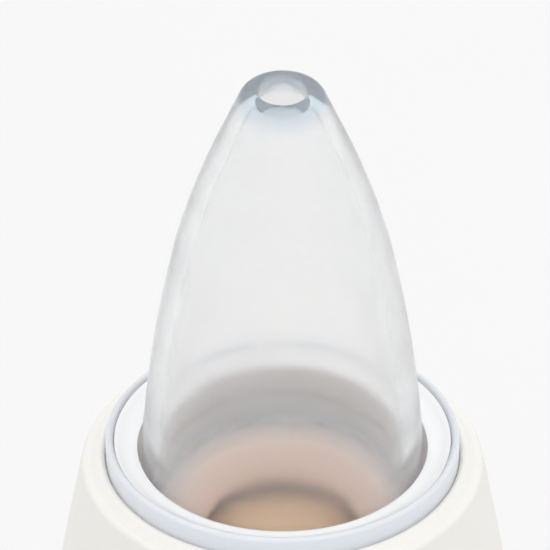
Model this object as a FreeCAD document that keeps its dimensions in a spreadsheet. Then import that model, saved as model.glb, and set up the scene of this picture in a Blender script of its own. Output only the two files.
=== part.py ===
import FreeCAD, Part
import operator
import os
from math import atan2, sqrt, hypot
from types import SimpleNamespace

import Sketcher

# Hand-held electric nasal aspirator, standing upright.
# Millimetres. Origin at the middle of the foot, +Z up, buttons on the -Y side.

Vector = FreeCAD.Vector
document = FreeCAD.newDocument("nasal_aspirator")

# ------------------------------------------------------------------ driving sizes
DRIVING_SIZES = {
    # outer form: one smooth barrel from the foot to the rim
    "belly_radius": 22.0,          # widest radius
    "belly_height": 70.0,          # where it is widest
    "base_radius": 19.0,           # just above the bottom rounding
    "base_rounding": 3.6,
    "shell_wall": 2.0,
    "seam_height": 18.5,           # base cap to sleeve
    "head_height": 38.0,           # parting line to the top of the clear collar
    "parting_gap": 0.3,            # shadow line between head and handle
    "edge_break": 0.35,
    # nose tip, measured up from the collar top
    "tip_height": 32.2,
    "tip_skirt_radius": 10.7,
    "tip_waist_height": 17.7,
    "tip_waist_radius": 8.2,
    "tip_neck_drop": 4.4,          # neck below the mouth's rim
    "tip_neck_radius": 4.85,
    "tip_low_bend": 116.0,         # radius of the flank from skirt to waist
    "tip_high_bend": 68.4,         # radius of the flank from waist to neck
    "tip_crown_drop": 0.8,
    "tip_crown_radius": 3.35,
    "tip_crown_bend": 1.27,
    "tip_rim_radius": 2.2,
    "mouth_radius": 1.9,
    "mouth_length": 1.5,
    "mouth_flare": 0.35,
    "lip_rounding": 0.25,
    "tip_wall": 1.4,
    "tip_bead": 0.2,               # bead that grips the socket
    "tip_bead_level": 1.8,         # bottom edge to the bead's middle
    "tip_bead_half": 0.6,
    "tip_clearance": 0.37,         # skirt to socket
    "tip_rest_gap": 0.1,
    # socket, seat and collar
    "seat_drop": 5.5,              # collar top to seat floor
    "seat_thickness": 1.5,
    "seat_lip_radius": 6.0,
    "seat_lip_drop": 2.4,          # floor to the edge of the opening
    "seat_cone_width": 1.5,
    "seat_ledge": 1.6,
    "socket_drop": 0.9,            # collar top to the socket's edge
    "socket_wall": 1.13,
    "socket_floor": 1.6,
    "dish_bend": 2.7,
    "funnel_step_drop": 3.0,
    "fit_gap": 0.05,
    "seal_gap": 0.1,
    "funnel_seal_section": 0.36,
    "collar_wall": 0.6,
    # collection cup
    "cup_wall": 1.2,
    "cup_floor": 1.6,
    "cup_floor_rounding": 2.0,
    "cup_rise": 1.5,               # flange above the parting line
    "flange_thickness": 1.5,
    "riser_radius": 3.0,
    "riser_bore": 2.0,
    "riser_height": 20.0,          # above the cup floor
    "port_socket_wall": 1.5,
    "port_socket_drop": 1.4,       # below the flange
    "locating_ring_width": 1.8,
    "locating_ring_gap": 0.3,
    # splash guard on the riser
    "guard_radius": 7.4,
    "guard_thickness": 1.2,
    "guard_wall": 1.1,
    "guard_grip": 4.0,
    "guard_window": 3.6,
    "guard_leg_radius": 0.9,
    # cream head cover and its rim
    "lip_gap": 0.15,
    "lip_height": 3.2,
    "rim_width": 1.7,
    "rim_drop": 2.6,               # collar top to the shoulder
    "ridge_drop": 1.58,            # collar top to the inner ridge
    "ridge_offset": 0.4,
    "valley_drop": 2.12,
    "throat_drop": 8.5,
    # deck on top of the handle
    "deck_thickness": 2.0,
    "deck_sink": 0.5,
    "deck_gap": 0.15,
    "deck_ring_width": 1.6,
    "deck_ring_height": 1.4,
    "deck_ring_radius": 16.6,
    "ledge_width": 2.1,
    "ledge_thickness": 1.8,
    "port_radius": 3.6,
    "port_bore": 1.5,
    "port_height": 3.3,            # above the deck
    "port_fit": 0.5,
    "port_groove": 0.7,
    "port_groove_width": 1.3,
    "port_seal_section": 0.58,
    # base cap, foot and its screws
    "foot_drop": 0.8,
    "cap_floor": 2.0,
    "foot_inner_radius": 12.4,
    "foot_width": 2.2,
    "foot_thickness": 1.7,
    "spigot_height": 1.9,
    "spigot_wall": 1.4,
    "pillar_top": 9.0,
    "pillar_radius": 3.2,
    "screw_circle": 9.6,
    "base_screw_radius": 1.0,
    "base_screw_length": 10.0,
    "base_screw_seat": 3.6,
    "screw_clearance": 0.15,
    "counterbore_gap": 0.4,
    "boss_radius": 2.2,
    "boss_height": 4.0,
    # chassis
    "bulkhead": 2.0,
    "chassis_gap": 0.2,
    "column_half_width": 5.5,
    "column_thickness": 1.5,
    "pump_gap": 1.3,
    # boards
    "board_thickness": 1.2,
    "board_gap": 1.4,              # pump to main board
    "board_half_width": 7.0,
    "board_overhang": 12.0,
    "board_screw_radius": 0.8,
    "board_screw_spread": 5.0,
    "board_screw_bite": 3.2,
    "chip_lift": 5.5,              # above the level button
    "charge_board_half_width": 5.6,
    "charge_board_front": 7.0,
    # charging socket and its cover
    "usb_half_width": 4.47,
    "usb_half_height": 1.63,
    "usb_depth": 7.3,
    "usb_wall": 0.3,
    "usb_setback": 0.15,
    "usb_headroom": 1.2,
    "tongue_half_width": 3.35,
    "port_half_width": 5.0,
    "port_half_height": 1.95,
    "cover_half_width": 7.0,
    "cover_half_height": 3.5,
    "cover_thickness": 0.9,
    "cover_gap": 0.15,
    "recess_depth": 1.1,
    "plug_gap": 0.4,
    "plug_length": 0.9,
    "lift_tab": 0.6,
    "lift_tab_half_width": 2.33,
    # battery
    "battery_radius": 9.2,
    "battery_length": 35.0,
    "battery_shoulder": 0.74,
    "battery_cap_radius": 3.07,
    "battery_pad": 0.8,
    "battery_slack": 0.4,
    # motor
    "motor_radius": 10.0,
    "motor_length": 20.0,
    "motor_wall": 0.8,
    "motor_boss_radius": 3.0,
    "motor_boss_height": 1.2,
    "endcap_thickness": 2.0,
    "endcap_drop": 1.0,
    "endcap_hole": 8.0,
    "shaft_radius": 1.0,
    "shaft_clearance": 0.03,
    "rotor_radius": 6.6,
    "rotor_length": 14.0,
    "magnet_gap": 0.8,
    "magnet_split": 2.2,
    "damper_wall": 1.6,
    "damper_flange": 1.2,
    "damper_lift": 7.0,
    "damper_gap": 0.5,
    # diaphragm pump
    "pump_radius": 12.3,
    "pump_wall": 2.3,
    "housing_height": 12.0,
    "housing_floor": 1.6,
    "wheel_radius": 6.0,
    "wheel_length": 5.0,
    "wheel_lift": 0.6,
    "pin_radius": 0.75,
    "pin_clearance": 0.05,
    "pin_foot": 7.1,               # below the pivot, along the pin
    "pin_head": 1.7,
    "hub_radius": 1.9,
    "hub_foot": 4.4,
    "hub_head": 1.9,
    "arm_drop": 3.9,
    "arm_thickness": 1.2,
    "arm_half_width": 1.2,
    "cup_circle": 7.0,
    "arm_end_radius": 1.6,
    "diaphragm_thickness": 1.2,
    "bellows_radius": 2.9,
    "bellows_height": 1.6,
    "bellows_wall": 0.6,
    "valve_plate_thickness": 2.0,
    "valve_radius": 2.0,
    "valve_thickness": 0.5,
    "valve_stem_radius": 0.7,
    "inlet_circle": 4.0,
    "inlet_radius": 0.5,
    "pump_head_height": 4.0,
    "pump_head_cavity": 2.4,
    "barb_radius": 2.0,
    "barb_bore": 1.1,
    "barb_length": 2.8,
    "barb_spacing": 0.6,
    "hose_wall": 1.2,
    "hose_inset": 0.4,
    "nozzle_offset": 7.5,
    "nozzle_radius": 1.6,
    "nozzle_bore": 0.8,
    "nozzle_length": 2.0,
    "muffler_radius": 3.2,
    "muffler_length": 3.2,
    "pump_screw_radius": 0.75,
    "pump_screw_bite": 7.0,
    # screws of the deck
    "deck_screw_radius": 0.8,
    "deck_screw_length": 7.0,
    "deck_boss_radius": 1.8,
    "deck_boss_length": 10.0,
    # buttons and their panel
    "panel_half_width": 6.5,
    "panel_half_height": 17.0,
    "panel_lift": 4.0,             # panel centre above the belly
    "panel_sink": 0.3,
    "panel_thickness": 1.0,
    "panel_gap": 0.12,
    "power_button_radius": 5.0,
    "power_button_drop": 5.0,      # below the belly
    "level_button_radius": 4.0,
    "level_button_lift": 13.5,     # above the belly
    "button_gap": 0.2,
    "button_flange": 0.7,
    "button_flange_thickness": 0.8,
    "button_flange_gap": 0.4,
    "button_edge": 0.4,
    "button_dish": 0.3,
    "switch_half_width": 3.0,
    "switch_thickness": 1.8,
    "plunger_radius": 1.5,
    "plunger_clearance": 0.15,
    "plunger_entry": 0.5,
    "button_travel": 0.5,
    "light_radius": 0.9,
    "light_spacing": 3.2,
    "light_lift": 4.75,            # above the belly
    "led_thickness": 0.7,
    "led_half_width": 0.8,
    # exhaust slots at the back
    "vent_half_width": 4.5,
    "vent_height": 1.0,
    "vent_pitch": 2.2,
    "vent_drop": 12.0,             # below the parting line
}
COUNTS = {"base_screws": 3, "pump_chambers": 3, "vents": 5, "lights": 3, "guard_legs": 3}
PIN_TILT = 6.0                     # degrees between wobble pin and motor shaft
GROOVE_ROOM = 1.2                  # half height of a seal groove over the seal's own radius
SHOULDER_EASE = 1.05               # bend of the rim's shoulder over its drop
SCREW_HEAD = 1.9                   # radius of a pan head over its shank
BASE_SCREW_HEAD = 1.3              # height of a base screw's head over its shank
CROSS_SLOT = 0.22                  # half width of a cross slot over the shank
CROSS_REACH = 0.62                 # half length of a cross slot over the head

LEFT = 1
RIGHT = -1
FRONT = -1
BACK = 1
FACING_FRONT = FreeCAD.Rotation(Vector(1, 0, 0), 90)
FACING_BACK = FreeCAD.Rotation(Vector(1, 0, 0), -90)
OPERATIONS = {"+": operator.add, "-": operator.sub, "*": operator.mul, "/": operator.truediv}


# ------------------------------------------------------------------ sizes tied to the sheet
class Size:
    """A size: the number it comes to, and the expression that ties it to the sheet."""

    def __init__(self, value, text):
        self.value = value
        self.text = text

    def __add__(self, other):
        return worked_out(self, "+", other)

    def __radd__(self, other):
        return worked_out(other, "+", self)

    def __sub__(self, other):
        return worked_out(self, "-", other)

    def __rsub__(self, other):
        return worked_out(other, "-", self)

    def __mul__(self, other):
        return worked_out(self, "*", other)

    def __rmul__(self, other):
        return worked_out(other, "*", self)

    def __truediv__(self, other):
        return worked_out(self, "/", other)

    def __neg__(self):
        return worked_out(0, "-", self)


def as_size(number):
    if isinstance(number, Size):
        return number
    return Size(float(number), f"({float(number):.6f})")


def worked_out(left, sign, right):
    left = as_size(left)
    right = as_size(right)
    value = OPERATIONS[sign](left.value, right.value)
    return Size(value, f"({left.text} {sign} {right.text})")


def root(size):
    return Size(sqrt(size.value), f"sqrt({size.text})")


def leg(long_side, short_side):
    """The other side of a right-angled triangle."""
    return root(long_side * long_side - short_side * short_side)


def smaller(first, second):
    first, second = as_size(first), as_size(second)
    return Size(min(first.value, second.value), f"min({first.text}; {second.text})")


def larger(first, second):
    first, second = as_size(first), as_size(second)
    return Size(max(first.value, second.value), f"max({first.text}; {second.text})")


def tie(thing, name, size):
    thing.setExpression(name, as_size(size).text)


sheet = document.addObject("Spreadsheet::Sheet", "Sizes")
for row, (alias, number) in enumerate(DRIVING_SIZES.items(), start=1):
    sheet.set(f"A{row}", alias)
    sheet.set(f"B{row}", str(number))
    sheet.setAlias(f"B{row}", alias)
document.recompute()
s = SimpleNamespace(**{alias: Size(number, f"Sizes.{alias}") for alias, number in DRIVING_SIZES.items()})


# ------------------------------------------------------------------ outlines and turned pieces
class Outline:
    """A closed profile of radius and height, drawn counter-clockwise round the material."""

    def __init__(self, across, up):
        self.points = [(as_size(across), as_size(up))]
        self.bends = []

    def to(self, across, up):
        self.points.append((as_size(across), as_size(up)))
        self.bends.append(None)
        return self

    def arc(self, across, up, radius, turn):
        self.points.append((as_size(across), as_size(up)))
        self.bends.append((as_size(radius), turn))
        return self


def closed_by_bend(outline, radius, turn):
    """Closes the outline with an arc in place of its last straight edge."""
    outline.bends.append((as_size(radius), turn))
    return outline


def arc_edge(start, end, radius, turn):
    """The short arc from start to end that turns left or right, and which of its ends comes first."""
    half = hypot(end.x - start.x, end.y - start.y) / 2
    along = (end - start).normalize()
    to_centre = Vector(-along.y, along.x, 0) * turn
    centre = (start + end) * 0.5 + to_centre * sqrt(radius * radius - half * half)
    angles = [atan2(point.y - centre.y, point.x - centre.x) for point in (start, end)]
    circle = Part.Circle(centre, Vector(0, 0, 1), radius)
    if turn == LEFT:
        return Part.ArcOfCircle(circle, angles[0], angles[1]), (1, 2)
    return Part.ArcOfCircle(circle, angles[1], angles[0]), (2, 1)


def draw(sketch, outline):
    """Draws the outline with every point and radius tied to the sheet."""
    corners = [Vector(across.value, up.value, 0) for across, up in outline.points]
    bends = outline.bends
    if len(bends) < len(corners):
        bends = bends + [None]
    ends = []
    for index, bend in enumerate(bends):
        start = corners[index]
        end = corners[(index + 1) % len(corners)]
        if bend is None:
            sketch.addGeometry(Part.LineSegment(start, end))
            ends.append((1, 2))
        else:
            curve, order = arc_edge(start, end, bend[0].value, bend[1])
            sketch.addGeometry(curve)
            ends.append(order)
    for index, order in enumerate(ends):
        following = (index + 1) % len(ends)
        start_of_next = ends[following][0]
        sketch.addConstraint(Sketcher.Constraint("Coincident", index, order[1], following, start_of_next))
    for index, point in enumerate(outline.points):
        for kind, size in zip(("DistanceX", "DistanceY"), point):
            held = sketch.addConstraint(Sketcher.Constraint(kind, -1, 1, index, ends[index][0], size.value))
            if "Sizes" in size.text:
                tie(sketch, f"Constraints[{held}]", size)
    for index, bend in enumerate(bends):
        if bend is not None:
            held = sketch.addConstraint(Sketcher.Constraint("Radius", index, bend[0].value))
            tie(sketch, f"Constraints[{held}]", bend[0])


def turned(label, outline):
    """A body of revolution about its own Z axis."""
    body = document.addObject("PartDesign::Body", label)
    plane = [feature for feature in body.Origin.OriginFeatures if feature.Role == "XZ_Plane"][0]
    sketch = body.newObject("Sketcher::SketchObject", label + "_outline")
    sketch.AttachmentSupport = [(plane, "")]
    sketch.MapMode = "FlatFace"
    draw(sketch, outline)
    turning = body.newObject("PartDesign::Revolution", label + "_turning")
    turning.Profile = sketch
    turning.ReferenceAxis = (sketch, ["V_Axis"])
    turning.Angle = 360
    return body


# ------------------------------------------------------------------ plain pieces and booleans
def place(thing, x=0, y=0, z=0, rotation=None):
    if rotation is not None:
        thing.Placement = FreeCAD.Placement(Vector(0, 0, 0), rotation)
    for axis, size in zip("xyz", (x, y, z)):
        tie(thing, f"Placement.Base.{axis}", size)
    return thing


def rod(label, radius, low, high, x=0, y=0):
    """An upright round bar."""
    bar = document.addObject("Part::Cylinder", label)
    tie(bar, "Radius", radius)
    tie(bar, "Height", as_size(high) - low)
    return place(bar, x, y, low)


def peg(label, radius, near, far, x, z, side):
    """A round bar along Y, from near to far, on the front or the back."""
    bar = document.addObject("Part::Cylinder", label)
    tie(bar, "Radius", radius)
    tie(bar, "Height", as_size(far) - near)
    return place(bar, x, as_size(near) * side, z, FACING_FRONT if side == FRONT else FACING_BACK)


def block(label, x, y, z):
    """A box between two limits along each axis."""
    box = document.addObject("Part::Box", label)
    for name, (low, high) in zip(("Length", "Width", "Height"), (x, y, z)):
        tie(box, name, as_size(high) - low)
    return place(box, x[0], y[0], z[0])


def both_ways(size):
    return (-as_size(size), size)


def about(centre, half):
    return (centre - half, centre + half)


def ring(label, radius, section, height):
    """An O-ring lying flat."""
    torus = document.addObject("Part::Torus", label)
    tie(torus, "Radius1", radius)
    tie(torus, "Radius2", section)
    return place(torus, 0, 0, height)


def fused(label, *pieces):
    whole = document.addObject("Part::MultiFuse", label)
    whole.Shapes = list(pieces)
    return whole


def common(label, *pieces):
    shared = document.addObject("Part::MultiCommon", label)
    shared.Shapes = list(pieces)
    return shared


def cut(label, base, *tools):
    """Takes the tools away one after the other."""
    left = base
    for index, tool in enumerate(tools):
        is_last = index == len(tools) - 1
        step = document.addObject("Part::Cut", label if is_last else f"{label}_cut_{index}")
        step.Base = left
        step.Tool = tool
        left = step
    return left


def group(label, pieces):
    """Like pieces that stay separate solids."""
    together = document.addObject("Part::Compound", label)
    together.Links = list(pieces)
    return together


def around(count, radius, first_angle=-90.0):
    """Evenly spaced places on a circle, as pairs of sizes."""
    places = []
    for index in range(count):
        turn = FreeCAD.Rotation(Vector(0, 0, 1), first_angle + 360.0 * index / count)
        direction = turn.multVec(Vector(1, 0, 0))
        places.append((radius * round(direction.x, 6), radius * round(direction.y, 6)))
    return places


def capsule(label, half_long, half_short, z, near, far, side, upright):
    """A bar along Y whose section has straight sides and half-round ends."""
    straight = half_long - half_short
    depth = (as_size(near), as_size(far)) if side == BACK else (-as_size(far), -as_size(near))
    if upright:
        middle = block(label + "_middle", both_ways(half_short), depth, about(z, straight))
        ends = [(0, z - straight), (0, z + straight)]
    else:
        middle = block(label + "_middle", both_ways(straight), depth, about(z, half_short))
        ends = [(-straight, z), (straight, z)]
    rounds = [peg(f"{label}_end_{index}", half_short, near, far, x, height, side)
              for index, (x, height) in enumerate(ends)]
    return fused(label, middle, *rounds)


nodes = {}


def keep(thing):
    """Marks a finished sub-part: its label is its node's name."""
    nodes[thing.Label] = thing
    return thing


# ------------------------------------------------------------------ levels, from the foot up
chassis_low = s.pillar_top
charge_board_low = chassis_low + s.bulkhead
charge_board_top = charge_board_low + s.board_thickness
port_level = charge_board_top + s.usb_half_height
battery_floor = port_level + s.usb_half_height + s.usb_headroom
battery_low = battery_floor + s.bulkhead + s.battery_pad
pump_floor = battery_low + s.battery_length + s.battery_slack
motor_low = pump_floor + s.bulkhead + s.endcap_drop
motor_top = motor_low + s.motor_length
damper_plate = motor_low + s.damper_lift
housing_top = motor_top + s.housing_height
diaphragm_top = housing_top + s.diaphragm_thickness
valve_plate_top = diaphragm_top + s.valve_plate_thickness
pump_top = valve_plate_top + s.pump_head_height
deck_low = pump_top + s.barb_length + s.barb_spacing + s.barb_length
deck_top = deck_low + s.deck_thickness
parting = deck_top + s.deck_sink
collar_top = parting + s.head_height
tip_top = collar_top + s.tip_height

# ------------------------------------------------------------------ radii, from the tip outwards
socket_radius = s.tip_skirt_radius + s.tip_clearance
funnel_radius = socket_radius + s.socket_wall
cup_inner = funnel_radius + s.seal_gap
cup_outer = cup_inner + s.cup_wall
collar_inner = cup_outer - s.collar_wall
lip_radius = cup_outer + s.lip_gap
shoulder_radius = lip_radius + s.rim_width
shoulder_level = collar_top - s.rim_drop
port_socket_radius = s.port_radius + s.port_fit
deck_ring_inner = s.deck_ring_radius - s.deck_ring_width

# ------------------------------------------------------------------ the barrel-shaped outer wall
base_level = s.foot_drop + s.base_rounding


def bend_through(rise, run):
    """The radius of an arc that leaves the belly upright and moves in by run over rise."""
    return (rise * rise + run * run) / (run * 2)


lower_bend = bend_through(s.belly_height - base_level, s.belly_radius - s.base_radius)
upper_bend = bend_through(shoulder_level - s.belly_height, s.belly_radius - shoulder_radius)


def barrel_radius(height, depth=0):
    """The radius at a height, on the outer wall or a depth below its surface."""
    bend = upper_bend if height.value > s.belly_height.value else lower_bend
    return s.belly_radius - bend + leg(bend - depth, height - s.belly_height)


def band(label, low, high, shallow, deep):
    """A thin turned skin of the outer wall, between two depths."""
    outline = Outline(barrel_radius(low, deep), low).to(barrel_radius(low, shallow), low)
    crosses_belly = low.value < s.belly_height.value < high.value
    if crosses_belly:
        outline.arc(s.belly_radius - shallow, s.belly_height, lower_bend - shallow, LEFT)
        outline.arc(barrel_radius(high, shallow), high, upper_bend - shallow, LEFT)
        outline.to(barrel_radius(high, deep), high)
        outline.arc(s.belly_radius - deep, s.belly_height, upper_bend - deep, RIGHT)
    else:
        outline.arc(barrel_radius(high, shallow), high, lower_bend - shallow, LEFT)
        outline.to(barrel_radius(high, deep), high)
    return turned(label, closed_by_bend(outline, lower_bend - deep, RIGHT))


# ------------------------------------------------------------------ nose tip
def nose_tip():
    """Soft clear tip: thin-walled, with a small round mouth and a bead that grips the socket."""
    bottom = collar_top - s.seat_drop + s.tip_rest_gap
    bead_middle = bottom + s.tip_bead_level
    bead_bend = bend_through(s.tip_bead_half, s.tip_bead)
    waist = collar_top + s.tip_waist_height
    neck = tip_top - s.tip_neck_drop
    mouth_end = tip_top - s.mouth_length
    skirt_bore = s.tip_skirt_radius - s.tip_wall
    outline = Outline(skirt_bore, bottom)
    outline.to(s.tip_skirt_radius, bottom)
    outline.to(s.tip_skirt_radius, bead_middle - s.tip_bead_half)
    outline.arc(s.tip_skirt_radius, bead_middle + s.tip_bead_half, bead_bend, LEFT)
    outline.to(s.tip_skirt_radius, collar_top)
    outline.arc(s.tip_waist_radius, waist, s.tip_low_bend, LEFT)
    outline.arc(s.tip_neck_radius, neck, s.tip_high_bend, LEFT)
    outline.to(s.tip_crown_radius, tip_top - s.tip_crown_drop)
    outline.arc(s.tip_rim_radius, tip_top, s.tip_crown_bend, LEFT)
    outline.to(s.mouth_radius + s.lip_rounding, tip_top)
    outline.arc(s.mouth_radius, tip_top - s.lip_rounding, s.lip_rounding, LEFT)
    outline.to(s.mouth_radius, mouth_end)
    outline.to(s.mouth_radius + s.mouth_flare, mouth_end - s.mouth_flare)
    outline.to(s.tip_neck_radius - s.tip_wall, neck)
    outline.arc(s.tip_waist_radius - s.tip_wall, waist, s.tip_high_bend - s.tip_wall, RIGHT)
    outline.arc(skirt_bore, collar_top, s.tip_low_bend - s.tip_wall, RIGHT)
    keep(turned("nose_tip", outline))


# ------------------------------------------------------------------ head: funnel, seat, cup, cover
def funnel_ring():
    """Glossy dished ring with the socket that the tip pushes into and a groove for its seal."""
    floor_top = collar_top - s.seat_drop - s.seat_thickness
    floor_low = floor_top - s.socket_floor
    step = collar_top - s.funnel_step_drop
    seal_level = floor_top + s.seat_thickness
    groove_half = s.funnel_seal_section * GROOVE_ROOM
    groove_radius = cup_inner - s.funnel_seal_section * 2 - s.fit_gap
    outline = Outline(socket_radius - s.seat_ledge, floor_low)
    outline.to(funnel_radius, floor_low)
    outline.to(funnel_radius, seal_level - groove_half)
    outline.to(groove_radius, seal_level - groove_half)
    outline.to(groove_radius, seal_level + groove_half)
    outline.to(funnel_radius, seal_level + groove_half)
    outline.to(funnel_radius, step)
    outline.to(collar_inner - s.fit_gap, step)
    outline.to(collar_inner - s.fit_gap, collar_top - s.lip_rounding)
    outline.arc(socket_radius, collar_top - s.socket_drop, s.dish_bend, RIGHT)
    outline.to(socket_radius, floor_top)
    outline.to(socket_radius - s.seat_ledge, floor_top)
    keep(turned("funnel_ring", outline))
    seal_radius = cup_inner - s.funnel_seal_section - s.fit_gap / 2
    keep(ring("funnel_seal", seal_radius, s.funnel_seal_section, seal_level))


def tip_seat():
    """Soft floor of the socket, which dips to a round opening."""
    floor_top = collar_top - s.seat_drop
    floor_low = floor_top - s.seat_thickness
    cone_top = s.seat_lip_radius + s.seat_cone_width
    lip_top = floor_top - s.seat_lip_drop
    outline = Outline(s.seat_lip_radius, lip_top - s.seat_thickness / 2)
    outline.to(cone_top - s.seat_cone_width / 2, lip_top - s.seat_thickness / 2)
    outline.to(cone_top + s.seat_cone_width / 2, floor_low)
    outline.to(socket_radius - s.fit_gap, floor_low)
    outline.to(socket_radius - s.fit_gap, floor_top)
    outline.to(cone_top, floor_top)
    outline.to(s.seat_lip_radius, lip_top)
    keep(turned("tip_seat", outline))


flange_low = parting + s.cup_rise
cup_floor_top = flange_low + s.cup_floor
port_top = deck_top + s.port_height
riser_foot = cup_floor_top + s.cup_floor
riser_top = cup_floor_top + s.riser_height


def collection_cup():
    """Clear cup whose rim is the collar; a riser carries the air out above the liquid."""
    skirt_low = flange_low - s.port_socket_drop
    socket_outer = port_socket_radius + s.port_socket_wall
    locating_outer = deck_ring_inner - s.locating_ring_gap
    locating_inner = locating_outer - s.locating_ring_width
    flange_top = flange_low + s.flange_thickness
    flange_radius = barrel_radius(flange_top, s.shell_wall) - s.fit_gap
    step = collar_top - s.funnel_step_drop
    rounding = s.collar_wall / 2
    outline = Outline(port_socket_radius, skirt_low)
    outline.to(socket_outer, skirt_low)
    outline.to(socket_outer, flange_low)
    outline.to(locating_inner, flange_low)
    outline.to(locating_inner, skirt_low + s.locating_ring_gap)
    outline.to(locating_outer, skirt_low + s.locating_ring_gap)
    outline.to(locating_outer, flange_low)
    outline.to(flange_radius, flange_low)
    outline.to(flange_radius, flange_top)
    outline.to(cup_outer, flange_top)
    outline.to(cup_outer, collar_top - rounding)
    outline.arc(cup_outer - rounding, collar_top, rounding, LEFT)
    outline.arc(collar_inner, collar_top - rounding, rounding, LEFT)
    outline.to(collar_inner, step)
    outline.to(cup_inner, step)
    outline.to(cup_inner, cup_floor_top + s.cup_floor_rounding)
    outline.arc(cup_inner - s.cup_floor_rounding, cup_floor_top, s.cup_floor_rounding, RIGHT)
    outline.to(socket_outer, cup_floor_top)
    outline.to(socket_outer, riser_foot)
    outline.to(s.riser_radius, riser_foot)
    outline.to(s.riser_radius, riser_top)
    outline.to(s.riser_bore, riser_top)
    outline.to(s.riser_bore, port_top + s.fit_gap * 2)
    outline.to(port_socket_radius, port_top + s.fit_gap * 2)
    keep(turned("collection_cup", outline))


def splash_guard():
    """Soft cap pressed on the riser: three legs hold a disc that keeps liquid off the air path."""
    grip_low = riser_top - s.guard_grip
    disc_low = riser_top + s.guard_window
    disc_top = disc_low + s.guard_thickness
    grip_outer = s.riser_radius + s.guard_wall
    collar = turned("guard_collar", Outline(s.riser_radius, grip_low).to(grip_outer, grip_low)
                    .to(grip_outer, riser_top).to(s.riser_radius, riser_top))
    rounding = s.guard_thickness / 2
    disc = turned("guard_disc", Outline(0, disc_low).to(s.guard_radius - rounding, disc_low)
                  .arc(s.guard_radius, disc_low + rounding, rounding, LEFT)
                  .arc(s.guard_radius - rounding, disc_top, rounding, LEFT).to(0, disc_top))
    leg_circle = s.riser_radius + s.guard_wall / 2
    legs = []
    for index, (x, y) in enumerate(around(COUNTS["guard_legs"], leg_circle)):
        legs.append(rod(f"guard_leg_{index}", s.guard_leg_radius, riser_top - s.guard_wall,
                        disc_low + rounding, x, y))
    riser = rod("guard_bore", s.riser_radius, grip_low, riser_top)
    keep(cut("splash_guard", fused("guard_whole", collar, disc, *legs), riser))


def head_cover():
    """Cream cover that hides the cup's body and carries the softly ridged rim."""
    low = parting + s.parting_gap
    edge = s.edge_break
    throat = collar_top - s.throat_drop
    crest = lip_radius + s.ridge_offset
    valley_level = collar_top - s.valley_drop
    lip_level = collar_top - s.ridge_drop - s.lip_rounding
    shoulder_rounding = s.rim_drop - s.valley_drop
    slope_foot = shoulder_radius - shoulder_rounding - s.ridge_offset / 2
    outline = Outline(barrel_radius(low, s.shell_wall), low)
    outline.to(barrel_radius(low) - edge, low)
    outline.arc(barrel_radius(low + edge), low + edge, edge, LEFT)
    outline.arc(shoulder_radius, shoulder_level, upper_bend, LEFT)
    outline.arc(shoulder_radius - shoulder_rounding, valley_level, shoulder_rounding * SHOULDER_EASE, LEFT)
    outline.to(slope_foot, valley_level)
    outline.to(crest + s.ridge_offset / 2, collar_top - s.ridge_drop - s.lip_rounding / 2)
    outline.arc(crest, collar_top - s.ridge_drop, s.ridge_offset, LEFT)
    outline.arc(lip_radius, lip_level, s.ridge_offset, LEFT)
    outline.to(lip_radius, lip_level - s.lip_height)
    outline.to(barrel_radius(throat, s.shell_wall), throat)
    closed_by_bend(outline, upper_bend - s.shell_wall, RIGHT)
    keep(turned("head_cover", outline))


# ------------------------------------------------------------------ handle: sleeve, deck, cap, foot
panel_level = s.belly_height + s.panel_lift
power_level = s.belly_height - s.power_button_drop
level_level = s.belly_height + s.level_button_lift
light_level = s.belly_height + s.light_lift
BUTTONS = {"power": (power_level, s.power_button_radius), "level": (level_level, s.level_button_radius)}
light_places = [s.light_spacing * (index - (COUNTS["lights"] - 1) / 2) for index in range(COUNTS["lights"])]
damper_rim = s.motor_radius + s.damper_wall + s.damper_flange
board_back = larger(s.pump_radius + s.board_gap, damper_rim + s.damper_gap)
board_front = board_back + s.board_thickness
beyond = s.belly_radius * 2
ledge_low = deck_low - s.ledge_thickness
ledge_radius = barrel_radius(deck_low, s.shell_wall) - s.ledge_width


def through_wall(label, radius, x, z, side):
    """A bar that drills the wall on one side."""
    return peg(label, radius, board_front + s.switch_thickness, beyond, x, z, side)


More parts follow.
